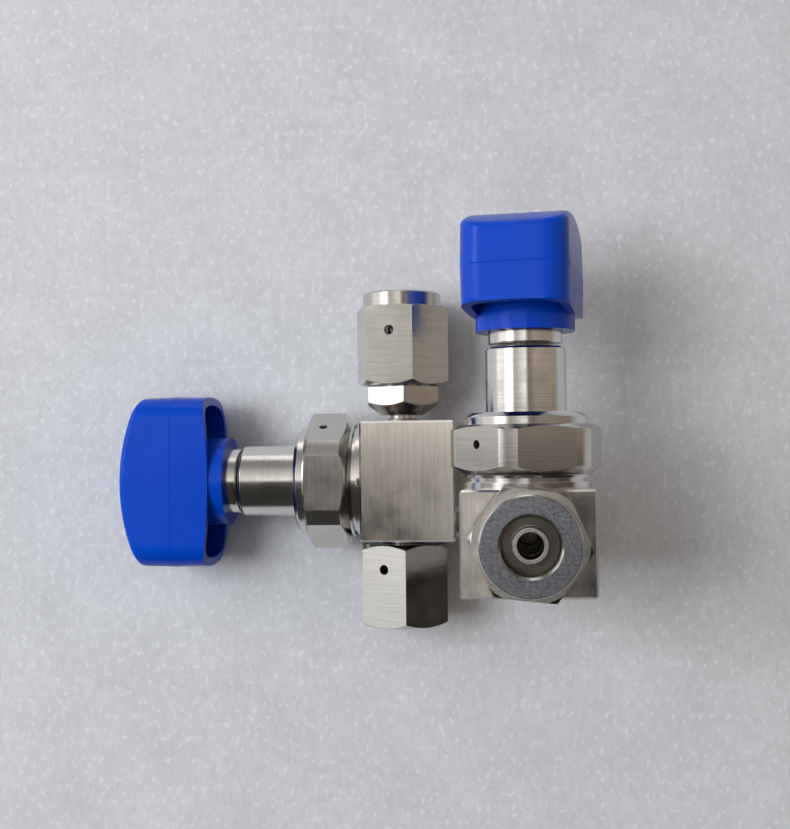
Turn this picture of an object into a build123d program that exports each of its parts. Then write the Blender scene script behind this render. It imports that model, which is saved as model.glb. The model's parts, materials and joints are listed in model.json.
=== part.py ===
from build123d import *
import os
from math import sqrt

# Two hand-operated quarter-turn diaphragm valves welded into one small gas manifold.
# One valve lies with its handle to -X, the other stands off it to +X with its handle to +Y.
# The flow goes in at the bottom (-Y), out at the top (+Y), and a purge branch points up (+Z).
# Every valve is drawn about its own stem axis: +Z to the handle, the flow along Y,
# and the height zero on the axis of its two side ports. All sizes are in millimetres.

# Valve body
body_half = 13.3            # half the block's width, across and along the flow
body_front = 8.6            # port axis to the face under the bonnet nut
body_back = 12.5            # port axis to the face away from the handle
body_edge = 0.45            # broken edges of the block
port_r = 2.285              # bore of every port, that of a 1/4 in tube
boss_ring_r = 12.9          # plain ring under the bonnet nut
boss_ring_h = 1.3
boss_r = 11.95              # threaded boss, left plain
boss_h = 6.4                # height of the boss above the block
chamber_r = 8.4
chamber_depth = 0.8
riser_r = 1.5               # upright passage to the seat
outlet_riser_r = 1.3
outlet_riser_y = 6.0
foot_hole_r = 2.05          # tapped mounting holes, at the thread's minor radius
foot_hole_spacing = 17.0
foot_hole_depth = 6.0

# Seat, diaphragm and button
seat_r = 3.1
seat_bore_r = 1.6
seat_h = 1.8
seat_stand = 0.6            # how far the seat stands above the chamber floor
press_clear = 0.02          # radial room of a part that is pressed or screwed home
dia_r = 10.6
dia_t = 0.3
dia_rise = 0.6              # height of the dome
dia_flat_r = 1.6            # flat middle of the dome
dia_bend_share = 0.62       # the dome's rise at half its radius
dome_clear = 0.25           # the bonnet's cone starts this far outside the dome
face_clear = 0.05           # room between faces that work against each other
button_r = 5.0
button_t = 1.5
button_edge = 0.8
button_edge_h = 0.4
button_stem_r = 3.0
button_travel = 0.75        # how far the button moves to shut the valve
button_play = 0.12          # room over the dome when the valve is open
run_clear = 0.05            # radial clearance of a running fit

# Bonnet, bonnet nut and stem
bonnet_r = 8.2
bonnet_flange_r = 11.0
bonnet_flange_h = 4.2
bonnet_top = 37.2           # port axis to the bonnet's end
bonnet_edge = 0.6
bonnet_cavity_r = 6.0
button_room_r = 5.4
guide_h = 3.6               # length of the button's guide
nut_flats = 28.575          # across flats, 1 1/8 in
nut_corner_r = 15.5         # the corners are turned down to this radius
nut_gap = 2.2               # block to nut
nut_h = 13.0
nut_foot_r = 12.9
nut_foot_h = 0.5
nut_foot_cone = 1.7
nut_top_r = 12.4
nut_top_h = 2.4
nut_top_edge = 0.9
nut_crown_r = 13.5
nut_crown_cone = 1.0
nut_leak_r = 0.9
nut_turn_left = 59.0        # degrees to the flat with the leak hole, nut by nut
nut_turn_right = 46.0
stem_r = 3.0
stem_cam_r = 5.6
stem_cam_h = 5.5
stem_cam_edge = 1.0
stem_edge = 0.5
bush_h = 6.4
stem_in_handle = 15.0       # how far the stem stands above the collar

# Drive collar and handle
collar_gap = 0.4            # groove between bonnet and collar
collar_r = 7.55
collar_h = 6.2
collar_edge = 0.3
handle_half_l = 19.7
handle_half_w = 10.75
handle_end_bow = 1.4        # how far the end walls bulge
handle_corner_r = 5.2
hub_r = 10.1
hub_start = 2.7             # collar's foot to the hub's lower face
rim_mid_rise = 3.1          # hub's lower face to the rim, in the middle and at the ends
rim_end_rise = 4.6
parting_rise = 11.9         # hub's lower face to the mould's parting line
shoulder_rise = 19.2        # hub's lower face to the crown at the ends
top_rise = 23.8
handle_draft = 1.2          # degrees that the walls lean in, up and down from the parting line
handle_edge = 1.5
handle_wall = 2.0
handle_roof = 3.0
web_t = 2.4
web_rise = 6.7
screw_r = 1.25
screw_rise = 1.5
screw_recess = 0.15         # the set screw stops this short of the hub's face
screw_socket_r = 0.625
handle_turn_left = 0.0      # degrees that each handle stands from its open stop
handle_turn_right = -8.0
quarter_turn = 90.0

# Face seal fittings for 1/4 in tube
tube_r = 3.175
gland_head_r = 6.1
gland_head_h = 3.3
bead_r = 4.1                # radius of the bead's circle
bead_w = 0.9
bead_h = 0.3
gasket_t = 0.7
gasket_r = 5.9
gasket_bore_r = 2.8         # wider than the tube's bore, clear of the beads
thread_r = 6.45             # thread of the female nuts, at the minor radius
male_clear = 0.05
male_flats = 15.875         # across flats, 5/8 in
male_hex_h = 3.5
male_start = 1.5            # block to the foot of the male nut
male_foot_h = 2.9           # the cone between its foot and its hexagon
male_foot_r = 4.6
male_bore_r = 3.5
male_thread_h = 8.5
male_thread_edge = 0.8
female_flats = 19.05        # across flats, 3/4 in
female_gap = 0.35           # male nut's shoulder to the female nut
female_hex_h = 17.9
female_collar_h = 3.3
female_collar_r = 8.95
female_edge = 0.3           # the turned chamfer at the nut's open end
female_edge_cone = 1.1
female_back_edge = 0.8      # the turned chamfer beside the collar
female_back_cone = 0.5
female_collar_edge = 0.35
female_hole_r = 5.1
female_hole_edge = 0.5
leak_r = 1.1
nut_shoulder = 0.1          # play between a nut's shoulder and its gland
stub_recess = 1.8           # the tube end lies this far inside the nut

# Inlet fitting, its nut slid back against the block
inlet_nut_gap = 1.1
inlet_nut_h = 18.5
inlet_nut_wall = 4.5
inlet_thread_h = 5.4
inlet_relief_r = 7.1
inlet_head_start = 10.4
inlet_leak = 5.4            # the nut's inner end to its leak hole
inlet_edge = 0.2

# How the two valves are joined
elbow_leg = 15.4            # centre to end of the elbow, both ways
branch_side = 3.7           # the first block's inlet face to the elbow's axis
elbow_bend_r = 10.5
bead_out = 0.7              # size of a weld bead
bead_crown = 0.7            # how full its back is

cut_over = 1.0              # how far a cutting tool runs past the metal

# Heights in the valve that follow from the sizes above
boss_top = body_front + boss_h
chamber_floor = boss_top - chamber_depth
seat_top = chamber_floor + seat_stand
seat_foot = seat_top - seat_h
flange_foot = boss_top + dia_t
flange_top = flange_foot + bonnet_flange_h
button_foot = flange_foot + dia_rise + button_play
guide_foot = button_foot + button_t + face_clear
guide_top = guide_foot + guide_h
nut_foot = body_front + nut_gap
nut_top = nut_foot + nut_h
bush_foot = bonnet_top - bush_h
cam_top = bush_foot - face_clear
cam_foot = cam_top - stem_cam_h
button_top = cam_foot - face_clear
collar_foot = bonnet_top + collar_gap
collar_top = collar_foot + collar_h
stem_top = collar_top + stem_in_handle
hub_foot = collar_foot + hub_start
handle_rim_mid = hub_foot + rim_mid_rise
handle_rim_end = hub_foot + rim_end_rise
handle_parting = hub_foot + parting_rise
handle_shoulder = hub_foot + shoulder_rise
handle_top = hub_foot + top_rise
web_foot = hub_foot + web_rise
screw_h = hub_foot + screw_rise

# Place of the branch to the elbow along the flow
elbow_y = branch_side - body_half

# Places in the fittings, measured out from the block
male_hex_start = male_start + male_foot_h
male_hex_end = male_hex_start + male_hex_h
female_start = male_hex_end + female_gap
female_end = female_start + female_hex_h + female_collar_h
male_end = male_hex_end + male_thread_h
body_gland_face = male_end + face_clear + gland_head_h
tube_gland_face = body_gland_face + gasket_t
tube_gland_shoulder = tube_gland_face + gland_head_h
female_shoulder = tube_gland_shoulder + nut_shoulder
stub_end = female_end - stub_recess


def turned(points):
    """A solid turned about Z from (radius, height) points."""
    outline = Polyline(*[(r, h) for r, h in points], close=True)
    return revolve(Plane.XZ * make_face(outline), Axis.Z)


def rod(radius, foot, top, x=0.0, y=0.0):
    """An upright cylinder from one height to another."""
    return Pos(x, y, foot) * extrude(Circle(radius), top - foot)


def hexagon(flats, foot, top, turn):
    """A hexagonal prism whose first flat faces +X, turned by the angle."""
    corner_to_flat = 180 / 6
    plan = RegularPolygon(flats / 2, 6, major_radius=False, rotation=turn + corner_to_flat)
    return Pos(0, 0, foot) * extrude(plan, top - foot)


def cross_hole(radius, height, angle, inner, outer):
    """A round hole from one radius to another, square to the Z axis."""
    hole = Rot(0, 90, 0) * extrude(Circle(radius), outer - inner)
    return Rot(0, 0, angle) * (Pos(inner, 0, height) * hole)


def along_y(radius, start, end):
    """A cylinder on the port axis, from one place along the flow to another."""
    return Pos(0, start, 0) * (Rot(-90, 0, 0) * extrude(Circle(radius), end - start))


def valve_body(with_branch, with_feet):
    """The machined block: boss, chamber, seat pocket and flow passages."""
    block = Pos(0, 0, -body_back) * extrude(Rectangle(2 * body_half, 2 * body_half), body_back + body_front)
    block = chamfer(block.edges(), body_edge)
    block += rod(boss_ring_r, body_front, body_front + boss_ring_h)
    block += rod(boss_r, body_front, boss_top)
    block -= rod(chamber_r, chamber_floor, boss_top)
    block -= rod(seat_r + press_clear, seat_foot, chamber_floor)
    block -= rod(riser_r, 0, seat_foot)
    block -= along_y(port_r, -body_half, riser_r)
    block -= rod(outlet_riser_r, 0, chamber_floor, 0, outlet_riser_y)
    block -= along_y(port_r, outlet_riser_y - outlet_riser_r, body_half)
    if with_branch:
        block -= rod(port_r, -body_back, 0, 0, elbow_y)
    if with_feet:
        for side in (-1, 1):
            x = side * foot_hole_spacing / 2
            block -= rod(foot_hole_r, -body_back, foot_hole_depth - body_back, x, 0)
    return block


def valve_seat():
    """The plastic seat ring in the middle of the chamber."""
    ring = rod(seat_r, seat_foot, seat_top) - rod(seat_bore_r, seat_foot, seat_top)
    rim = ring.edges().filter_by(GeomType.CIRCLE).group_by(Axis.Z)[-1]
    return chamfer(rim, seat_stand / 3)


def diaphragm():
    """The thin metal disc: a flat clamped rim and a dome that stands towards the button."""
    rim = chamber_r
    bend = (rim + dia_flat_r) / 2
    lower = [(0, dia_rise), (dia_flat_r, dia_rise), (bend, dia_rise * dia_bend_share), (rim, 0), (dia_r, 0)]
    upper = [(r, h + dia_t) for r, h in reversed(lower)]
    return Pos(0, 0, boss_top) * turned(lower + upper)


def button():
    """The button that presses the diaphragm onto the seat."""
    flange_top_h = button_foot + button_t
    return turned([
        (0, button_foot), (button_r - button_edge, button_foot), (button_r, button_foot + button_edge_h),
        (button_r, flange_top_h), (button_stem_r, flange_top_h),
        (button_stem_r, button_top), (0, button_top),
    ])


def bonnet():
    """The turned bonnet: clamping flange, button guide and stem housing."""
    guide_r = button_stem_r + run_clear
    return turned([
        (button_room_r, flange_foot + dia_rise), (chamber_r + dome_clear, flange_foot),
        (bonnet_flange_r, flange_foot),
        (bonnet_flange_r, flange_top), (bonnet_r, flange_top),
        (bonnet_r, bonnet_top - bonnet_edge), (bonnet_r - bonnet_edge, bonnet_top),
        (bonnet_cavity_r, bonnet_top), (bonnet_cavity_r, guide_top),
        (guide_r, guide_top), (guide_r, guide_foot), (button_room_r, guide_foot),
    ])


def bonnet_nut(turn):
    """The large hexagon nut, with turned corners and a round ring at each end."""
    hex_top = nut_top - nut_top_h
    cone_top = nut_foot + nut_foot_h + nut_foot_cone
    crown_foot = hex_top - nut_crown_cone
    form = turned([
        (0, nut_foot), (nut_foot_r, nut_foot), (nut_foot_r, nut_foot + nut_foot_h),
        (nut_corner_r, cone_top), (nut_corner_r, crown_foot), (nut_crown_r, hex_top), (0, hex_top),
    ])
    nut = form & hexagon(nut_flats, nut_foot, hex_top, turn)
    nut += turned([
        (0, hex_top), (nut_top_r, hex_top), (nut_top_r, nut_top - nut_top_edge),
        (nut_top_r - nut_top_edge, nut_top), (0, nut_top),
    ])
    nut -= rod(boss_r + run_clear, nut_foot, flange_top)
    nut -= rod(bonnet_r + run_clear, flange_top, nut_top)
    leak_h = (flange_foot + flange_top) / 2
    nut -= cross_hole(nut_leak_r, leak_h, turn, boss_r, nut_flats)
    return nut


def stem():
    """The quarter-turn stem with its cam collar."""
    return turned([
        (0, cam_foot), (stem_cam_r - stem_cam_edge, cam_foot), (stem_cam_r, cam_foot + stem_cam_edge),
        (stem_cam_r, cam_top), (stem_r, cam_top), (stem_r, stem_top - stem_edge),
        (stem_r - stem_edge, stem_top), (0, stem_top),
    ])


def stem_bush():
    """The plastic bearing pressed into the end of the bonnet."""
    outer = rod(bonnet_cavity_r - press_clear, bush_foot, bonnet_top)
    return outer - rod(stem_r + run_clear, bush_foot, bonnet_top)


def drive_collar():
    """The turned ring on the stem that carries the handle's hub."""
    inner = stem_r + press_clear
    return turned([
        (inner, collar_foot), (collar_r - collar_edge, collar_foot), (collar_r, collar_foot + collar_edge),
        (collar_r, collar_top), (inner, collar_top),
    ])


def handle_plan(inset):
    """The handle seen from above: straight sides, bowed ends and round corners."""
    w = handle_half_w - inset
    far = handle_half_l - inset
    near = far - handle_end_bow
    outline = Curve() + [
        Line((-w, -near), (-w, near)),
        ThreePointArc((-w, near), (0, far), (w, near)),
        Line((w, near), (w, -near)),
        ThreePointArc((w, -near), (0, -far), (-w, -near)),
    ]
    plan = make_face(outline)
    return fillet(plan.vertices(), handle_corner_r - inset)


def handle():
    """The moulded handle: crowned roof, drafted side walls, hub, webs and stem socket."""
    reach = handle_half_l
    side = Curve() + [
        ThreePointArc((-reach, handle_rim_end), (0, handle_rim_mid), (reach, handle_rim_end)),
        Line((reach, handle_rim_end), (reach, handle_shoulder)),
        ThreePointArc((reach, handle_shoulder), (0, handle_top), (-reach, handle_shoulder)),
        Line((-reach, handle_shoulder), (-reach, handle_rim_end)),
    ]
    profile = extrude(Plane.YZ * make_face(side), handle_half_w, both=True)
    half_mould = extrude(handle_plan(0), handle_top - handle_parting + cut_over, taper=handle_draft)
    walls = half_mould + mirror(half_mould, about=Plane.XY)
    shell = profile & (Pos(0, 0, handle_parting) * walls)
    crown = shell.edges().filter_by(lambda e: e.center().Z > handle_shoulder - handle_edge / 3)
    shell = fillet(crown, handle_edge)
    roof_foot = handle_shoulder - handle_roof
    shell -= Pos(0, 0, hub_foot) * extrude(handle_plan(handle_wall), roof_foot - hub_foot)
    hub = rod(hub_r, hub_foot, roof_foot)
    web_plan = Rectangle(web_t, 2 * handle_half_l - handle_wall)
    web = Pos(0, 0, web_foot) * extrude(web_plan, roof_foot - web_foot)
    shell += hub + web
    shell -= rod(collar_r + press_clear, hub_foot, collar_top)
    shell -= rod(stem_r + press_clear, collar_top, stem_top + face_clear)
    shell -= cross_hole(screw_r + press_clear, screw_h, 180, collar_r, hub_r + cut_over)
    return shell


def handle_screw():
    """The socket set screw that locks the hub on the collar."""
    length = hub_r - collar_r - press_clear - screw_recess
    start = collar_r + press_clear
    screw = cross_hole(screw_r, screw_h, 180, start, start + length)
    socket = RegularPolygon(screw_socket_r, 6)
    cut = Rot(0, 90, 0) * extrude(socket, length / 2)
    return screw - Rot(0, 0, 180) * (Pos(start + length / 2, 0, screw_h) * cut)


def pressed(handle_turn):
    """How far the button has moved at a handle's angle from its open stop."""
    return button_travel * abs(handle_turn) / quarter_turn


def valve(side, place, nut_turn, handle_turn, with_branch, with_feet):
    """All eleven pieces of one valve, put where the valve stands."""
    turn = Rot(0, 0, handle_turn)
    pieces = {
        "body": valve_body(with_branch, with_feet),
        "seat": valve_seat(),
        "diaphragm": diaphragm(),
        "button": Pos(0, 0, -pressed(handle_turn)) * button(),
        "bonnet": bonnet(),
        "bonnet_nut": bonnet_nut(nut_turn),
        "stem": stem(),
        "stem_bush": stem_bush(),
        "drive_collar": drive_collar(),
        "handle": turn * handle(),
        "handle_screw": turn * handle_screw(),
    }
    return {f"{side}_{name}": place * piece for name, piece in pieces.items()}


def bead_face(face, towards):
    """The round sealing bead on a gland's face."""
    tip = face + towards * bead_h
    inner = bead_r - bead_w / 2
    outer = bead_r + bead_w / 2
    return [(outer, face), (bead_r, tip), (inner, face)]


def body_gland():
    """The gland welded to the block, its bead facing outwards."""
    shoulder = body_gland_face - gland_head_h
    return turned([
        (port_r, 0), (tube_r, 0), (tube_r, shoulder), (gland_head_r, shoulder),
        (gland_head_r, body_gland_face), *bead_face(body_gland_face, 1), (port_r, body_gland_face),
    ])


def tube_gland():
    """The gland that carries the tube stub, its bead facing the block."""
    return turned([
        (port_r, tube_gland_face), *reversed(bead_face(tube_gland_face, -1)),
        (gland_head_r, tube_gland_face), (gland_head_r, tube_gland_shoulder),
        (tube_r, tube_gland_shoulder), (tube_r, stub_end), (port_r, stub_end),
    ])


def gasket():
    """The metal gasket, dented by both beads."""
    lower = [(r, h) for r, h in reversed(bead_face(body_gland_face, 1))]
    upper = [(r, h) for r, h in bead_face(tube_gland_face, -1)]
    return turned([
        (gasket_bore_r, body_gland_face), *lower, (gasket_r, body_gland_face),
        (gasket_r, tube_gland_face), *upper, (gasket_bore_r, tube_gland_face),
    ])


def male_nut(turn):
    """The small nut: conical foot against the block, hexagon, and plain thread outwards."""
    corner = male_flats / sqrt(3)
    form = turned([
        (0, male_start), (male_foot_r, male_start), (corner, male_hex_start),
        (corner, male_hex_end), (0, male_hex_end),
    ])
    nut = form & hexagon(male_flats, male_start, male_hex_end, turn)
    thread_form_r = thread_r - male_clear
    nut += turned([
        (0, male_hex_end), (thread_form_r, male_hex_end),
        (thread_form_r, male_end - male_thread_edge),
        (thread_form_r - male_thread_edge, male_end), (0, male_end),
    ])
    return nut - rod(male_bore_r, male_start, male_end)


def female_nut(turn):
    """The union nut: hexagon, round collar at its closed end, and a leak test hole."""
    corner = female_flats / sqrt(3)
    collar_start = female_start + female_hex_h
    form = turned([
        (0, female_start), (female_flats / 2 - female_edge, female_start),
        (corner, female_start + female_edge_cone), (corner, collar_start - female_back_cone),
        (corner - female_back_edge, collar_start), (0, collar_start),
    ])
    nut = form & hexagon(female_flats, female_start, collar_start, turn)
    nut += turned([
        (0, collar_start), (female_collar_r, collar_start),
        (female_collar_r, female_end - female_collar_edge),
        (female_collar_r - female_collar_edge, female_end), (0, female_end),
    ])
    nut -= rod(thread_r, female_start, female_shoulder)
    nut -= rod(female_hole_r, female_shoulder, female_end)
    nut -= turned([
        (0, female_end - female_hole_edge), (female_hole_r, female_end - female_hole_edge),
        (female_hole_r + female_hole_edge, female_end), (0, female_end),
    ])
    nut -= cross_hole(leak_r, tube_gland_face, turn, thread_r - cut_over, female_flats)
    return nut


def inlet_gland():
    """The inlet's gland, longer in its neck so that the nut can slide back."""
    face = inlet_head_start + gland_head_h
    return turned([
        (port_r, 0), (tube_r, 0), (tube_r, inlet_head_start), (gland_head_r, inlet_head_start),
        (gland_head_r, face), *bead_face(face, 1), (port_r, face),
    ])


def inlet_nut(turn):
    """The plain hexagon nut of the inlet, open outwards."""
    start = inlet_nut_gap
    end = start + inlet_nut_h
    corner = female_flats / sqrt(3)
    flat = female_flats / 2
    form = turned([
        (0, start), (flat - inlet_edge, start), (corner, start + female_edge_cone),
        (corner, end - female_edge_cone), (flat - inlet_edge, end), (0, end),
    ])
    nut = form & hexagon(female_flats, start, end, turn)
    nut -= rod(female_hole_r, start, start + inlet_nut_wall)
    nut -= rod(inlet_relief_r, start + inlet_nut_wall, end - inlet_thread_h)
    nut -= rod(thread_r, end - inlet_thread_h, end)
    nut -= cross_hole(leak_r, start + inlet_leak, turn, female_hole_r, female_flats)
    return nut


def elbow():
    """The short tube elbow from the first block's back face up to the second block."""
    start = Vector(body_back, elbow_y, 0)
    corner = Vector(body_back + elbow_leg, elbow_y, 0)
    end = Vector(body_back + elbow_leg, elbow_y, elbow_leg)
    path = FilletPolyline(start, corner, end, radius=elbow_bend_r)
    ring = Circle(tube_r) - Circle(port_r)
    return sweep(Plane(origin=start, x_dir=(0, 1, 0), z_dir=(1, 0, 0)) * ring, path=path)


def weld_bead():
    """The round bead of weld where a tube meets a block."""
    return turned([
        (tube_r, 0), (tube_r + bead_out, 0), (tube_r + bead_out * bead_crown, bead_out * bead_crown),
        (tube_r, bead_out),
    ])


# Where each valve and fitting stands, before the origin is moved under the whole object
second_x = body_back + elbow_leg
second_z = body_half + elbow_leg
left_place = Plane(origin=(0, 0, 0), x_dir=(0, 0, 1), z_dir=(-1, 0, 0)).location
right_place = Plane(origin=(second_x, elbow_y, second_z), x_dir=(-1, 0, 0), z_dir=(0, 1, 0)).location
outlet_place = Plane(origin=(0, body_half, 0), x_dir=(0, 0, 1), z_dir=(0, 1, 0)).location
inlet_place = Plane(origin=(0, -body_half, 0), x_dir=(0, 0, 1), z_dir=(0, -1, 0)).location
purge_place = Plane(
    origin=(second_x, elbow_y, second_z + body_half), x_dir=(1, 0, 0), z_dir=(0, 0, 1)).location
branch_place = Plane(origin=(body_back, elbow_y, 0), x_dir=(0, 1, 0), z_dir=(1, 0, 0)).location
joint_place = Plane(
    origin=(second_x, elbow_y, second_z - body_half), x_dir=(1, 0, 0), z_dir=(0, 0, -1)).location

# How far each fitting nut's first flat stands off its zero, in degrees
outlet_turn = -13.0
inlet_turn = 23.5
purge_turn = 24.0
male_turn_outlet = 36.5
male_turn_purge = 10.0


def union(side, place, female_turn, male_turn):
    """The five pieces of one face seal union."""
    return {
        f"{side}_gland": place * body_gland(),
        f"{side}_male_nut": place * male_nut(male_turn),
        f"{side}_gasket": place * gasket(),
        f"{side}_tube_gland": place * tube_gland(),
        f"{side}_female_nut": place * female_nut(female_turn),
    }


def assembly():
    """Every node of the object, standing at its place."""
    nodes = {}
    nodes.update(valve("left", left_place, nut_turn_left, handle_turn_left, True, False))
    nodes.update(valve("right", right_place, nut_turn_right, handle_turn_right, False, True))
    nodes.update(union("outlet", outlet_place, outlet_turn, male_turn_outlet))
    nodes.update(union("purge", purge_place, purge_turn, male_turn_purge))
    nodes["inlet_gland"] = inlet_place * inlet_gland()
    nodes["inlet_nut"] = inlet_place * inlet_nut(inlet_turn)
    nodes["elbow"] = elbow()
    joints = (outlet_place, inlet_place, purge_place, branch_place, joint_place)
    nodes["weld_beads"] = Compound(children=[place * weld_bead() for place in joints])
    return nodes


pieces = assembly()
box = Compound(children=list(pieces.values())).bounding_box()
origin = Vector((box.min.X + box.max.X) / 2, (box.min.Y + box.max.Y) / 2, box.min.Z)

if __name__ == "__main__":
    os.makedirs("parts", exist_ok=True)
    for name, piece in pieces.items():
        solids = (Pos(-origin) * piece).solids()
        node = solids[0] if len(solids) == 1 else Compound(solids)
        export_step(node, f"parts/{name}.step")
    print("origin moved by", origin, "size", box.size)
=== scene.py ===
import json
from math import atan2, pi, radians

import bpy
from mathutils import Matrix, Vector

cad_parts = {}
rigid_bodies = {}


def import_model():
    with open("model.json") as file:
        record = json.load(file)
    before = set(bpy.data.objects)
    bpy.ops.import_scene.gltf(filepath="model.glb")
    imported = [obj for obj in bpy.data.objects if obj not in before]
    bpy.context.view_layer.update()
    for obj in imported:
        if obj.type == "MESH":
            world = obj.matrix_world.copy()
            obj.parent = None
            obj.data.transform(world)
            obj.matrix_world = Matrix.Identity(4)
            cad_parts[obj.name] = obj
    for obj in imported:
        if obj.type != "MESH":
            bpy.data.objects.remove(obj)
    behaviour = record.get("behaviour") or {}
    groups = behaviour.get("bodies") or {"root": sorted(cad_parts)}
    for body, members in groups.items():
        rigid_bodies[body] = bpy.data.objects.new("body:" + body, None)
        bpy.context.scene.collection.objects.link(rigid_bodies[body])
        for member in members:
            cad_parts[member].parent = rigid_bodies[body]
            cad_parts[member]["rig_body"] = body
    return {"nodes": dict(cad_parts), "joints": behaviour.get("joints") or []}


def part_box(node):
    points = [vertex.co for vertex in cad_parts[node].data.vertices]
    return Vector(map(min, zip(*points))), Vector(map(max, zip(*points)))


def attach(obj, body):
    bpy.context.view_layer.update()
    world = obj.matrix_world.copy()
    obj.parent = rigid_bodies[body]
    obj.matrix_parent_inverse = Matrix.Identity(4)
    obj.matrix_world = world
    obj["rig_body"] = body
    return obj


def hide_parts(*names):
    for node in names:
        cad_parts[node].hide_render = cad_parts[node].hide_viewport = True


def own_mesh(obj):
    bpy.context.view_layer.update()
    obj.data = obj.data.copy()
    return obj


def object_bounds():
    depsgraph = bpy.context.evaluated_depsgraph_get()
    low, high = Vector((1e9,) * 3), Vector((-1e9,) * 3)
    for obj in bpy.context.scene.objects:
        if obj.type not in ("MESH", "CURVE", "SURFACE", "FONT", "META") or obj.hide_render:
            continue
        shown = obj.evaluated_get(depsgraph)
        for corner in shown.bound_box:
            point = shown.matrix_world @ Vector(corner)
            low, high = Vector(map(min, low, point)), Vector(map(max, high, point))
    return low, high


# Two hand-operated quarter-turn diaphragm valves welded into one small gas manifold.
# The blocks, nuts, bonnets, handles, tube stubs and diaphragms are finished copies of the
# solids. The threads, the weld ripples and the handles' mould line are modelled here.
# Lengths are in metres.
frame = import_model()
cad_low, cad_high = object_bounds()
mm = 0.001

# The camera, fitted to the photograph: it looks down on the part. Its place is measured
# from the middle of the left valve.
camera_offset = Vector((25.11, 7.41, 275.17)) * mm
camera_turn = (radians(1.518), radians(5.607), radians(-0.6))
camera_lens = 52.11
camera_sensor = 36.0
camera_clip = 0.01

# Where the pieces turn, read from the joints
joints = {joint["name"]: joint for joint in frame["joints"]}


def joint_axis(name):
    """The point and the direction of a joint's axis."""
    return Vector(joints[name]["pos_m"]), Vector(joints[name]["axis"])


left_axis = joint_axis("left_handle_turn")
right_axis = joint_axis("right_handle_turn")
outlet_axis = joint_axis("outlet_nut_spin")
purge_axis = joint_axis("purge_nut_spin")
inlet_axis = joint_axis("inlet_nut_spin")

# The middle of each valve, where its stem's axis crosses its ports' axis, and the
# directions in which the stems and the ports point
left_middle = Vector((outlet_axis[0].x, left_axis[0].y, left_axis[0].z))
right_middle = Vector((purge_axis[0].x, purge_axis[0].y, right_axis[0].z))
left_stem = -left_axis[1]
right_stem = -right_axis[1]
across = Vector((1, 0, 0))
along_flow = Vector((0, 1, 0))
upwards = Vector((0, 0, 1))

# Sizes of the solids that the small pieces follow
block_half = 13.3 * mm
block_front = 8.6 * mm
block_back = 12.5 * mm
port_radius = 3.1 * mm
tube_radius = 3.175 * mm
bonnet_nut_flat = 14.2875 * mm
female_nut_flat = 9.525 * mm
male_nut_flat = 7.9375 * mm
crown_to_parting = 11.9 * mm

# Threads: a tapped hole's radius, and its thread's depth, pitch, length and how far its
# first turn lies inside the mouth
inlet_thread_radius = 6.45 * mm
inlet_thread_depth = 0.32 * mm
inlet_thread_pitch = 1.41 * mm
inlet_thread_length = 4.6 * mm
inlet_thread_inset = 0.5 * mm
foot_hole_radius = 2.05 * mm
foot_hole_spacing = 17.0 * mm
foot_thread_depth = 0.14 * mm
foot_thread_pitch = 0.8 * mm
foot_thread_length = 4.8 * mm
foot_thread_inset = 0.4 * mm
crest_share = 0.8           # the radius of the crest's triangle, in depths of the thread
crest_slimness = 2.2        # leaves the crest's foot 0.63 of a pitch wide
thread_steps = 40           # straight pieces in one turn

# Weld ripples: a ring over each bead, with every third step pressed in
weld_ring_gap = 0.3 * mm
weld_ring_radius = 0.37 * mm
weld_ring_height = 0.33 * mm
weld_ripple_depth = 0.06 * mm
weld_steps = 96
weld_ripple_every = 3

# Edge breaks and small features
block_edge = 0.16 * mm
nut_edge = 0.14 * mm
turned_edge = 0.12 * mm
stub_edge = 0.15 * mm
sheet_edge = 0.02 * mm
handle_rim_edge = 0.3 * mm
mould_line_half = 0.13 * mm
mould_line_rise = 0.07 * mm

# How the mesh of a copy is cleaned, and from what angle an edge counts as sharp. The nuts'
# chamfers meet their ends at 27 degrees, and have to count.
merge_distance = 0.003 * mm
flat_angle = radians(0.4)
sharp_angle = radians(24)

# Finishes, as linear colours. The two darkest steels are painted shade, for the walls of bores
# and a tube stub's sunken step.
steel_pale = (0.62, 0.605, 0.575)
steel_warm = (0.60, 0.565, 0.52)
steel_cool = (0.37, 0.395, 0.45)
steel_shaded = (0.17, 0.153, 0.133)
steel_painted_shade = (0.075, 0.068, 0.06)
steel_bright = (0.74, 0.725, 0.70)
weld_straw = (0.46, 0.40, 0.31)
handle_blue = (0.0003, 0.052, 0.48)
seal_white = (0.78, 0.77, 0.72)
stone_grey = (0.57, 0.59, 0.63)


# Materials. A pattern's scale is in noise cells per metre.

def start_material(name, colour, metallic, roughness):
    """A new node material, with its tree and its shader."""
    material = bpy.data.materials.new(name)
    material.use_nodes = True
    tree = material.node_tree
    shader = tree.nodes["Principled BSDF"]
    shader.inputs["Base Color"].default_value = (*colour, 1)
    shader.inputs["Metallic"].default_value = metallic
    shader.inputs["Roughness"].default_value = roughness
    return material, tree, shader


def vector_maths(tree, operation, first, second=None):
    """A sum on vectors. The second one is a socket, a vector, or a number to scale by."""
    node = tree.nodes.new("ShaderNodeVectorMath")
    node.operation = operation
    tree.links.new(first, node.inputs[0])
    if isinstance(second, bpy.types.NodeSocket):
        tree.links.new(second, node.inputs[1])
    elif isinstance(second, float):
        node.inputs["Scale"].default_value = second
    elif second is not None:
        node.inputs[1].default_value = tuple(second)
    return node.outputs["Value" if operation in ("DOT_PRODUCT", "LENGTH") else "Vector"]


def object_points(tree, centre=(0, 0, 0), stretch=(1, 1, 1)):
    """Object coordinates, moved to a centre and stretched along the axes."""
    source = tree.nodes.new("ShaderNodeTexCoord")
    moved = vector_maths(tree, "SUBTRACT", source.outputs["Object"], centre)
    return vector_maths(tree, "MULTIPLY", moved, stretch)


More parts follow.
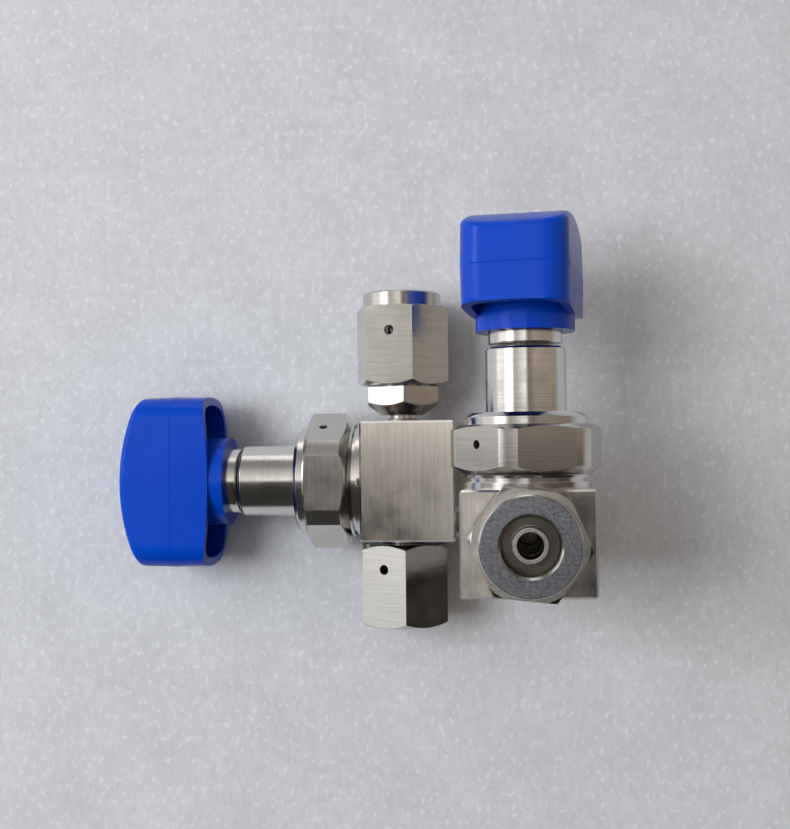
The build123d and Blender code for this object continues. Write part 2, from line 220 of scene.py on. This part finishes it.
def turned_points(tree, axis, lengthwise, around):
    """Points that change fast along an axis and outwards from it, and slowly round it."""
    centre, direction = axis
    points = object_points(tree, centre)
    along = vector_maths(tree, "DOT_PRODUCT", points, direction)
    outwards = vector_maths(tree, "SUBTRACT", points,
                            vector_maths(tree, "PROJECT", points, direction))
    joined = tree.nodes.new("ShaderNodeCombineXYZ")
    tree.links.new(along, joined.inputs[0])
    tree.links.new(vector_maths(tree, "LENGTH", outwards), joined.inputs[1])
    fast = vector_maths(tree, "SCALE", joined.outputs[0], lengthwise)
    slow = vector_maths(tree, "SCALE", points, around)
    return vector_maths(tree, "ADD", fast, slow)


def noise(tree, points, scale, detail=4.0, rough=0.6):
    """The grey value of a noise over the points."""
    node = tree.nodes.new("ShaderNodeTexNoise")
    node.inputs["Scale"].default_value = scale
    node.inputs["Detail"].default_value = detail
    node.inputs["Roughness"].default_value = rough
    tree.links.new(points, node.inputs["Vector"])
    return node.outputs["Fac"]


def spread(tree, value, low, high, start=0.3, end=0.7):
    """A value from start to end, spread from low to high."""
    node = tree.nodes.new("ShaderNodeMapRange")
    node.inputs["From Min"].default_value = start
    node.inputs["From Max"].default_value = end
    node.inputs["To Min"].default_value = low
    node.inputs["To Max"].default_value = high
    tree.links.new(value, node.inputs["Value"])
    return node.outputs["Result"]


def tint(tree, shader, value, dark, light):
    """Two colours mixed by a value, given to the shader."""
    ramp = tree.nodes.new("ShaderNodeValToRGB")
    ramp.color_ramp.elements[0].color = (*dark, 1)
    ramp.color_ramp.elements[0].position = 0.3
    ramp.color_ramp.elements[1].color = (*light, 1)
    ramp.color_ramp.elements[1].position = 0.7
    tree.links.new(value, ramp.inputs["Fac"])
    tree.links.new(ramp.outputs["Color"], shader.inputs["Base Color"])


def dull(tree, shader, value, low, high):
    """A roughness that a value spreads from low to high."""
    tree.links.new(spread(tree, value, low, high), shader.inputs["Roughness"])


def relief(tree, shader, value, height, strength=1.0, under=None):
    """A bump of that height, over another one if it is given."""
    bump = tree.nodes.new("ShaderNodeBump")
    bump.inputs["Distance"].default_value = height
    bump.inputs["Strength"].default_value = strength
    tree.links.new(value, bump.inputs["Height"])
    if under is not None:
        tree.links.new(under, bump.inputs["Normal"])
    tree.links.new(bump.outputs["Normal"], shader.inputs["Normal"])
    return bump.outputs["Normal"]


def shade(colour, share):
    """A colour made darker or lighter by a share."""
    return tuple(min(1.0, part * share) for part in colour)


def brushed_steel(name, colour, roughness, grain, depth=0.008 * mm):
    """Ground steel: fine lines along one axis, cloudy wear and small pits."""
    material, tree, shader = start_material(name, colour, 1.0, roughness)
    lines = noise(tree, object_points(tree, stretch=grain), scale=1.0, detail=5.0, rough=0.65)
    clouds = noise(tree, object_points(tree), scale=160.0, detail=3.0)
    pits = noise(tree, object_points(tree), scale=2600.0, detail=2.0)
    tint(tree, shader, lines, shade(colour, 0.9), shade(colour, 1.08))
    dull(tree, shader, clouds, low=roughness - 0.03, high=roughness + 0.06)
    ground = relief(tree, shader, lines, height=depth, strength=0.7)
    relief(tree, shader, pits, height=0.003 * mm, strength=0.4, under=ground)
    return material


def turned_steel(name, colour, roughness, axis, groove=0.006 * mm):
    """Lathe-turned steel: fine rings round the axis and a cloudy sheen."""
    material, tree, shader = start_material(name, colour, 1.0, roughness)
    rings = noise(tree, turned_points(tree, axis, lengthwise=5200.0, around=40.0),
                  scale=1.0, detail=4.0, rough=0.7)
    clouds = noise(tree, object_points(tree), scale=210.0, detail=3.0)
    tint(tree, shader, rings, shade(colour, 0.88), shade(colour, 1.08))
    dull(tree, shader, clouds, low=roughness - 0.05, high=roughness + 0.08)
    relief(tree, shader, rings, height=groove, strength=0.8)
    return material


def worn_face(name, colour, axis):
    """A coarse-turned face that has been knocked about: rings, specks and small dents."""
    material, tree, shader = start_material(name, colour, 1.0, 0.36)
    rings = noise(tree, turned_points(tree, axis, lengthwise=2600.0, around=120.0),
                  scale=1.0, detail=5.0, rough=0.75)
    specks = noise(tree, object_points(tree), scale=2000.0, detail=5.0, rough=0.8)
    tint(tree, shader, specks, shade(colour, 0.45), shade(colour, 1.6))
    dull(tree, shader, specks, low=0.46, high=0.26)
    turned = relief(tree, shader, rings, height=0.014 * mm, strength=0.7)
    relief(tree, shader, specks, height=0.02 * mm, strength=0.6, under=turned)
    return material


def moulded_blue(name):
    """Glossy moulded plastic with a faint orange-peel and smears from handling."""
    material, tree, shader = start_material(name, handle_blue, 0.0, 0.3)
    shader.inputs["Specular IOR Level"].default_value = 0.1
    shader.inputs["Coat Weight"].default_value = 0.22
    shader.inputs["Coat Roughness"].default_value = 0.1
    smears = noise(tree, object_points(tree), scale=90.0, detail=4.0)
    peel = noise(tree, object_points(tree), scale=900.0, detail=2.0)
    tint(tree, shader, smears, shade(handle_blue, 0.94), shade(handle_blue, 1.06))
    dull(tree, shader, smears, low=0.26, high=0.38)
    relief(tree, shader, peel, height=0.02 * mm, strength=0.25)
    return material


def weld_metal(name):
    """Fused weld metal with a straw heat tint."""
    material, tree, shader = start_material(name, weld_straw, 1.0, 0.3)
    clouds = noise(tree, object_points(tree), scale=420.0, detail=3.0)
    grit = noise(tree, object_points(tree), scale=1800.0)
    tint(tree, shader, clouds, weld_straw, steel_pale)
    dull(tree, shader, clouds, low=0.22, high=0.38)
    relief(tree, shader, grit, height=0.01 * mm, strength=0.5)
    return material


def seal_polymer(name):
    """Pale machined fluoropolymer."""
    material, tree, shader = start_material(name, seal_white, 0.0, 0.45)
    clouds = noise(tree, object_points(tree), scale=300.0)
    tint(tree, shader, clouds, shade(seal_white, 0.94), seal_white)
    relief(tree, shader, clouds, height=0.01 * mm, strength=0.3)
    return material


fine_ground = 0.004 * mm
deep_turned = 0.01 * mm
block_steel = brushed_steel("block_steel", steel_warm, 0.165, (2400, 60, 2400), fine_ground)
left_nut_steel = brushed_steel("left_nut_steel", steel_pale, 0.19, (2600, 90, 90), fine_ground)
right_nut_steel = brushed_steel("right_nut_steel", steel_pale, 0.19, (90, 2600, 90), fine_ground)
purge_nut_steel = brushed_steel("purge_nut_steel", steel_pale, 0.19, (90, 90, 2600), fine_ground)
elbow_steel = brushed_steel("elbow_steel", steel_pale, 0.2, (700, 700, 700))
# Painted shade: dark steel that stands for the shade in bores and on a tube stub's sunken step
bore_painted_shade = turned_steel("bore_painted_shade", steel_painted_shade, 0.3, purge_axis)
shaded_steel = turned_steel("shaded_steel", steel_shaded, 0.22, purge_axis, deep_turned)
left_turned = turned_steel("left_turned_steel", steel_bright, 0.17, left_axis)
right_turned = turned_steel("right_turned_steel", steel_bright, 0.17, right_axis)
port_turned = turned_steel("port_turned_steel", steel_pale, 0.2, outlet_axis)
purge_turned = turned_steel("purge_turned_steel", steel_pale, 0.22, purge_axis)
purge_face = worn_face("purge_face_steel", steel_cool, purge_axis)
weld_steel = weld_metal("weld_steel")
blue = moulded_blue("handle_blue")
seal = seal_polymer("seal_polymer")


# Finished copies of the solids

def select_only(piece):
    """Makes one piece the selected and active one."""
    bpy.ops.object.select_all(action="DESELECT")
    piece.select_set(True)
    bpy.context.view_layer.objects.active = piece


def apply_modifier(piece, kind, **settings):
    """Adds a modifier with those settings and applies it."""
    modifier = piece.modifiers.new(kind.lower(), kind)
    for key, value in settings.items():
        setattr(modifier, key, value)
    bpy.ops.object.modifier_apply(modifier=modifier.name)


def from_axis(point, axis):
    """How far a point lies along an axis and out from it."""
    centre, direction = axis
    offset = point - centre
    along = offset.dot(direction)
    return along, (offset - direction * along).length


def faces_inwards(face, axis):
    """Whether a face is the wall of a bore round the axis."""
    offset = face.center - axis[0]
    outwards = offset - axis[1] * offset.dot(axis[1])
    return face.normal.dot(outwards.normalized()) < -0.5


def nut_finish(axis, flat):
    """Tells a nut's flats (0) from its turned faces (1) and from the walls of its bore (2), which
    are painted with shade.
    """
    nearest, furthest = flat * 0.97, flat * 1.065   # where the middle of a flat's face lies

    def choose(face):
        if faces_inwards(face, axis):
            return 2
        out = from_axis(face.center, axis)[1]
        level = abs(face.normal.dot(axis[1])) <= 0.1
        return 0 if level and nearest <= out <= furthest else 1
    return choose


def block_finish(middle, stem, port):
    """Tells a block's faces (0) from its round boss (1) and from the bores of its ports (2),
    which are painted with shade.
    """
    boss_start = block_front + 0.05 * mm
    bore_end = block_half - 0.2 * mm

    def choose(face):
        if (face.center - middle).dot(stem) > boss_start:
            return 1
        along, out = from_axis(face.center, (middle, port[1]))
        if out < port_radius and abs(along) < bore_end:
            return 2
        square = max(abs(part) for part in face.normal) > 0.999
        return 0 if square else 1
    return choose


def purge_finish(axis, flat, end):
    """A nut's finishes, and one more (3) for the end that is knocked about."""
    plain = nut_finish(axis, flat)
    end_start = end - 0.5 * mm

    def choose(face):
        if face.center.z > end_start and face.normal.z > 0.2:
            return 3 if face.normal.z > 0.92 else 1
        return plain(face)
    return choose


def stub_finish(axis, outwards, node):
    """Tells a tube stub's end and edges (0) from its bore (1) and from its sunken step (2); both
    of these are painted with shade.
    """
    end_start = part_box(node)[1].dot(outwards) - 0.2 * mm

    def choose(face):
        lengthwise = abs(face.normal.dot(axis[1]))
        if lengthwise > 0.95 and face.center.dot(outwards) < end_start:
            return 2
        return 1 if faces_inwards(face, axis) and lengthwise < 0.2 else 0
    return choose


def one_finish(face):
    """The same finish all over."""
    return 0


def select_level(piece, stem, height, reach):
    """Selects the points and the edges that lie at a height along the stem."""
    points = piece.data.vertices
    for point in points:
        point.select = abs(point.co.dot(stem) - height) < reach
    for edge in piece.data.edges:
        edge.select = all(points[end].select for end in edge.vertices)


def mould_line(piece, stem, height):
    """Raises the thin witness line that the two halves of the mould leave round a handle."""
    bpy.ops.object.mode_set(mode="EDIT")
    bpy.ops.mesh.select_all(action="DESELECT")
    bpy.ops.mesh.select_mode(type="EDGE")
    bpy.ops.object.mode_set(mode="OBJECT")
    select_level(piece, stem, height, reach=0.02 * mm)
    bpy.ops.object.mode_set(mode="EDIT")
    bpy.ops.mesh.bevel(offset=mould_line_half, offset_type="OFFSET", segments=2, profile=0.5,
                       affect="EDGES")
    bpy.ops.mesh.select_all(action="DESELECT")
    bpy.ops.object.mode_set(mode="OBJECT")
    select_level(piece, stem, height, reach=0.03 * mm)
    bpy.ops.object.mode_set(mode="EDIT")
    bpy.ops.transform.shrink_fatten(value=mould_line_rise)
    bpy.ops.object.mode_set(mode="OBJECT")


def finished_copy(node, edge, materials, slot, choose=one_finish, parting=None):
    """A merged copy of a solid with its sharp edges broken. It then stands for the node."""
    source = frame["nodes"][node]
    piece = bpy.data.objects.new(f"{node}_finished", source.data.copy())
    bpy.context.scene.collection.objects.link(piece)
    piece.data.materials.clear()
    for material in materials:
        piece.data.materials.append(material)
    select_only(piece)
    bpy.ops.object.mode_set(mode="EDIT")
    bpy.ops.mesh.select_all(action="SELECT")
    bpy.ops.mesh.customdata_custom_splitnormals_clear()
    bpy.ops.mesh.remove_doubles(threshold=merge_distance)
    bpy.ops.mesh.dissolve_limited(angle_limit=flat_angle)
    bpy.ops.object.mode_set(mode="OBJECT")
    if parting is not None:
        mould_line(piece, *parting)
    apply_modifier(piece, "BEVEL", width=edge, segments=2, limit_method="ANGLE",
                   angle_limit=sharp_angle, use_clamp_overlap=True, face_strength_mode="FSTR_ALL")
    for face in piece.data.polygons:
        face.material_index = choose(face)
    bpy.ops.object.shade_smooth_by_angle(angle=sharp_angle)
    apply_modifier(piece, "WEIGHTED_NORMAL", keep_sharp=True, use_face_influence=True)
    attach(piece, source["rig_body"])
    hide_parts(node)
    return piece


# What each node is finished with: its edge break, its materials, the record's slot, what
# tells its faces apart, and where a handle's mould line runs
# The darkest steels in these lists are painted shade, on the walls of bores and on a stub's
# sunken step.
block_steels = {"left": [block_steel, left_turned, bore_painted_shade],
                "right": [block_steel, right_turned, bore_painted_shade]}
bonnet_nut_steels = {"left": [left_nut_steel, left_turned, bore_painted_shade],
                     "right": [right_nut_steel, right_turned, bore_painted_shade]}
port_nut_steels = [right_nut_steel, port_turned, bore_painted_shade]
purge_nut_steels = [purge_nut_steel, purge_turned, bore_painted_shade]
purge_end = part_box("purge_female_nut")[1].z
left_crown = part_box("left_handle")[0].x
right_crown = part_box("right_handle")[1].y
finishes = {
    "left_body": (block_edge, block_steels["left"], "machined_steel",
                  block_finish(left_middle, left_stem, outlet_axis)),
    "right_body": (block_edge, block_steels["right"], "machined_steel",
                   block_finish(right_middle, right_stem, purge_axis)),
    "left_bonnet": (turned_edge, [left_turned], "turned_steel"),
    "right_bonnet": (turned_edge, [right_turned], "turned_steel"),
    "left_bonnet_nut": (nut_edge, bonnet_nut_steels["left"], "nut_steel",
                        nut_finish(left_axis, bonnet_nut_flat)),
    "right_bonnet_nut": (nut_edge, bonnet_nut_steels["right"], "nut_steel",
                         nut_finish(right_axis, bonnet_nut_flat)),
    "left_drive_collar": (turned_edge, [left_turned], "turned_steel"),
    "right_drive_collar": (turned_edge, [right_turned], "turned_steel"),
    "outlet_female_nut": (nut_edge, port_nut_steels, "nut_steel",
                          nut_finish(outlet_axis, female_nut_flat)),
    "outlet_male_nut": (nut_edge, port_nut_steels, "nut_steel",
                        nut_finish(outlet_axis, male_nut_flat)),
    "purge_female_nut": (nut_edge, [*purge_nut_steels, purge_face], "nut_steel",
                         purge_finish(purge_axis, female_nut_flat, purge_end)),
    "purge_male_nut": (nut_edge, purge_nut_steels, "nut_steel",
                       nut_finish(purge_axis, male_nut_flat)),
    "inlet_nut": (nut_edge, port_nut_steels, "nut_steel",
                  nut_finish(inlet_axis, female_nut_flat)),
    "purge_tube_gland": (stub_edge, [purge_turned, bore_painted_shade, shaded_steel], "inner_steel",
                         stub_finish(purge_axis, upwards, "purge_tube_gland")),
    "outlet_tube_gland": (stub_edge, [port_turned, bore_painted_shade, shaded_steel], "inner_steel",
                          stub_finish(outlet_axis, along_flow, "outlet_tube_gland")),
    "left_diaphragm": (sheet_edge, [left_turned], "inner_steel"),
    "right_diaphragm": (sheet_edge, [right_turned], "inner_steel"),
    "left_handle": (handle_rim_edge, [blue], "handle_plastic", one_finish,
                    (left_stem, -left_crown - crown_to_parting)),
    "right_handle": (handle_rim_edge, [blue], "handle_plastic", one_finish,
                     (right_stem, right_crown - crown_to_parting)),
}
finished = {node_name: finished_copy(node_name, *finish)
            for node_name, finish in finishes.items()}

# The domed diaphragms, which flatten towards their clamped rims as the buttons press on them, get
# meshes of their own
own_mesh(finished["left_diaphragm"])
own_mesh(finished["right_diaphragm"])

# The solids that keep their own mesh: the inner pieces and what hardly shows
kept = {
    left_turned: ["left_stem", "left_button"],
    right_turned: ["right_stem", "right_button"],
    port_turned: ["outlet_gland", "outlet_gasket", "inlet_gland"],
    purge_turned: ["purge_gland", "purge_gasket"],
    elbow_steel: ["elbow", "left_handle_screw", "right_handle_screw"],
    weld_steel: ["weld_beads"],
    seal: ["left_seat", "right_seat", "left_stem_bush", "right_stem_bush"],
}
for material, node_names in kept.items():
    for node_name in node_names:
        node = frame["nodes"][node_name]
        node.data.materials.clear()
        node.data.materials.append(material)


# Threads and weld ripples

def settle(piece, place, direction, material, body):
    """Turns a piece's height to a direction, moves it to its place and gives it its finish."""
    piece.rotation_euler = direction.to_track_quat("Z", "Y").to_euler()
    piece.location = place
    select_only(piece)
    bpy.ops.object.transform_apply(location=True, rotation=True, scale=True)
    piece.data.materials.append(material)
    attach(piece, body)


def cut_thread(name, place, direction, radius, depth, pitch, length, body, material):
    """The crest of a tapped thread, wound up from the mouth of its hole."""
    bpy.ops.object.select_all(action="DESELECT")
    bpy.ops.mesh.primitive_circle_add(vertices=3, radius=depth * crest_share,
                                      fill_type="NOTHING", location=(radius, 0, 0),
                                      rotation=(pi / 2, -pi / 2, 0))
    piece = bpy.context.active_object
    piece.name = name
    bpy.ops.object.transform_apply(location=True, rotation=True, scale=True)
    bpy.ops.object.mode_set(mode="EDIT")
    bpy.ops.mesh.select_all(action="SELECT")
    bpy.ops.transform.resize(value=(1, 1, pitch / (crest_slimness * depth)),
                             center_override=(radius, 0, 0))
    bpy.ops.object.mode_set(mode="OBJECT")
    apply_modifier(piece, "SCREW", axis="Z", screw_offset=pitch,
                   iterations=round(length / pitch), steps=thread_steps,
                   render_steps=thread_steps)
    bpy.ops.object.mode_set(mode="EDIT")
    bpy.ops.mesh.select_all(action="SELECT")
    bpy.ops.mesh.fill_holes(sides=4)
    bpy.ops.mesh.normals_make_consistent(inside=False)
    bpy.ops.object.mode_set(mode="OBJECT")
    bpy.ops.object.shade_smooth_by_angle(angle=sharp_angle)
    settle(piece, place, direction, material, body)


def weld_ripples(name, place, direction):
    """A bead of weld round a tube, with the ripples that each step of the torch leaves."""
    bpy.ops.object.select_all(action="DESELECT")
    bpy.ops.mesh.primitive_torus_add(major_segments=weld_steps, minor_segments=12,
                                     major_radius=tube_radius + weld_ring_gap,
                                     minor_radius=weld_ring_radius,
                                     location=(0, 0, weld_ring_height))
    piece = bpy.context.active_object
    piece.name = name
    bpy.ops.object.transform_apply(location=True, rotation=True, scale=True)
    bpy.ops.object.mode_set(mode="EDIT")
    bpy.ops.mesh.select_all(action="DESELECT")
    bpy.ops.object.mode_set(mode="OBJECT")
    for point in piece.data.vertices:
        step = round(atan2(point.co.y, point.co.x) / (2 * pi) * weld_steps)
        point.select = step % weld_ripple_every == 0
    bpy.ops.object.mode_set(mode="EDIT")
    bpy.ops.transform.shrink_fatten(value=-weld_ripple_depth)
    bpy.ops.object.mode_set(mode="OBJECT")
    bpy.ops.object.shade_smooth()
    settle(piece, place, direction, weld_steel, "manifold")


inlet_mouth = Vector((inlet_axis[0].x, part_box("inlet_nut")[0].y + inlet_thread_inset,
                      inlet_axis[0].z))
cut_thread("inlet_nut_thread", inlet_mouth, along_flow, inlet_thread_radius,
           inlet_thread_depth, inlet_thread_pitch, inlet_thread_length,
           "inlet_coupling_nut", port_turned)
foot_mouths = right_middle - right_stem * (block_back - foot_thread_inset)
for side, offset in (("left", -foot_hole_spacing / 2), ("right", foot_hole_spacing / 2)):
    cut_thread(f"foot_hole_thread_{side}", foot_mouths + across * offset, right_stem,
               foot_hole_radius, foot_thread_depth, foot_thread_pitch, foot_thread_length,
               "manifold", right_turned)

elbow_foot = Vector((left_middle.x + block_back, right_middle.y, left_middle.z))
weld_ripples("outlet_weld", left_middle + along_flow * block_half, along_flow)
weld_ripples("inlet_weld", left_middle - along_flow * block_half, -along_flow)
weld_ripples("purge_weld", right_middle + upwards * block_half, upwards)
weld_ripples("elbow_upper_weld", right_middle - upwards * block_half, -upwards)
weld_ripples("elbow_lower_weld", elbow_foot, across)


# Floor, lights and camera

def multiply_add(tree, value, factor, added):
    """A value times a factor, plus another value."""
    node = tree.nodes.new("ShaderNodeMath")
    node.operation = "MULTIPLY_ADD"
    node.inputs[1].default_value = factor
    tree.links.new(value, node.inputs[0])
    tree.links.new(added, node.inputs[2])
    return node.outputs[0]


def stone_floor():
    """A plain pale stone slab under the part, with soft clouds and small pale flecks."""
    bpy.ops.object.select_all(action="DESELECT")
    bpy.ops.mesh.primitive_plane_add(size=6.0, location=(0, 0, 0))
    floor = bpy.context.active_object
    floor.name = "floor"
    material, tree, shader = start_material("pale_stone", stone_grey, 0.0, 0.5)
    clouds = noise(tree, object_points(tree), scale=60.0, detail=3.0, rough=0.5)
    grains = noise(tree, object_points(tree, stretch=(1.0, 0.6, 1.0)), scale=480.0, detail=3.0,
                   rough=0.55)
    flecks = noise(tree, object_points(tree, stretch=(1.0, 0.7, 1.0)), scale=820.0, detail=2.0,
                   rough=0.5)
    bright = spread(tree, flecks, low=0.0, high=0.35, start=0.56, end=0.74)
    fine = multiply_add(tree, grains, 0.45, bright)
    stone = multiply_add(tree, clouds, 0.35, fine)
    tint(tree, shader, stone, shade(stone_grey, 0.9), shade(stone_grey, 1.14))
    relief(tree, shader, grains, height=0.03 * mm, strength=0.3)
    floor.data.materials.append(material)


def soft_box(name, place, width, height, power, colour, mirrored):
    """A soft rectangular lamp that looks at the part. Polished steel may or may not show it."""
    data = bpy.data.lights.new(name, "AREA")
    data.shape = "RECTANGLE"
    data.size = width
    data.size_y = height
    data.energy = power
    data.color = colour
    lamp = bpy.data.objects.new(name, data)
    lamp.location = place
    aim = (cad_low + cad_high) / 2 - Vector(place)
    lamp.rotation_euler = aim.to_track_quat("-Z", "Y").to_euler()
    lamp.visible_glossy = mirrored
    bpy.context.scene.collection.objects.link(lamp)


def direction_ramp(tree, source, direction, stops):
    """A ramp over how far the view of the room points in a direction, from -1 to 1."""
    towards = vector_maths(tree, "DOT_PRODUCT", source.outputs["Generated"], direction)
    ramp = tree.nodes.new("ShaderNodeValToRGB")
    colours = ramp.color_ramp.elements
    first, *between, last = stops

    def paint(element, grey, warmth):
        element.color = (grey * (1 + warmth), grey, grey * (1 - warmth), 1)

    paint(colours[0], *first[1:])
    paint(colours[1], *last[1:])
    for place, grey, warmth in between:
        paint(colours.new((place + 1) / 2), grey, warmth)
    tree.links.new(spread(tree, towards, low=0.0, high=1.0, start=-1.0, end=1.0),
                   ramp.inputs["Fac"])
    return ramp.outputs["Color"]


# The room: each stop of a ramp is a place on the line from -1 to 1, how bright the room is
# there, and how warm. A pale wall and a window are to the left, another pale wall is on the
# far side, and the near side is dark, as the steel's flats show it.
from_right_to_left = ((-1.0, 0.12, 0.2), (-0.4, 0.16, 0.11), (-0.08, 0.04, 0.2),
                      (0.005, 0.56, 0.02), (0.18, 0.42, 0.02), (0.4, 0.25, 0.02),
                      (0.58, 0.17, 0.01), (0.64, 0.95, 0.0), (0.8, 0.95, 0.0),
                      (0.88, 0.42, 0.0), (1.0, 0.5, 0.0))
from_near_to_far = ((-1.0, 0.02, 0.05), (-0.45, 0.02, 0.05), (-0.02, 0.03, 0.04),
                    (0.04, 0.68, 0.03), (0.15, 0.5, 0.03), (0.35, 0.38, 0.03),
                    (0.76, 0.14, 0.0), (0.92, 0.14, 0.0), (0.96, 0.68, 0.02),
                    (1.0, 0.75, 0.02))
room_strength = 4.5

# The lamps: place, width, height, watts, colour, and whether polished steel shows them
lamps = {
    "left_window": ((-0.4, 0.05, 0.8), 0.36, 0.36, 4.7, (0.96, 0.98, 1.0), False),
    "far_window": ((-0.2, 0.95, 0.25), 0.9, 0.3, 0.5, (1.0, 0.98, 0.94), False),
    "ceiling": ((-0.1, -0.1, 1.3), 1.5, 1.5, 2.6, (1.0, 0.99, 0.98), False),
    "warm_wall": ((0.85, 0.1, 0.4), 0.7, 0.5, 0.9, (1.0, 0.64, 0.34), False),
    "left_card": ((-0.79, -0.17, 0.63), 0.5, 0.26, 0.35, (0.98, 0.99, 1.0), True),
    "window_glint": ((-0.66, 0.36, 0.66), 0.4, 0.3, 1.0, (0.99, 1.0, 1.0), True),
    "near_card": ((0.0, -0.13, 1.156), 0.05, 0.16, 0.04, (1.0, 1.0, 0.98), True),
}


def room_light():
    """Lights the room with the product of its two ramps."""
    world = bpy.data.worlds.new("room")
    bpy.context.scene.world = world
    world.use_nodes = True
    tree = world.node_tree
    source = tree.nodes.new("ShaderNodeTexCoord")
    sideways = direction_ramp(tree, source, -across, from_right_to_left)
    lengthwise = direction_ramp(tree, source, along_flow, from_near_to_far)
    product = tree.nodes.new("ShaderNodeMix")
    product.data_type = "RGBA"
    product.blend_type = "MULTIPLY"
    product.inputs["Factor"].default_value = 1.0
    tree.links.new(sideways, product.inputs["A"])
    tree.links.new(lengthwise, product.inputs["B"])
    background = tree.nodes["Background"]
    background.inputs["Strength"].default_value = room_strength
    tree.links.new(product.outputs["Result"], background.inputs["Color"])


def set_camera():
    """The camera at the photograph's viewing angle."""
    data = bpy.data.cameras.new("camera")
    data.lens = camera_lens
    data.sensor_width = camera_sensor
    data.clip_start = camera_clip
    camera = bpy.data.objects.new("camera", data)
    camera.location = left_middle + camera_offset
    camera.rotation_euler = camera_turn
    bpy.context.scene.collection.objects.link(camera)
    bpy.context.scene.camera = camera
    bpy.context.scene.view_settings.view_transform = "Standard"


stone_floor()
room_light()
for lamp_name, settings in lamps.items():
    soft_box(lamp_name, *settings)
set_camera()
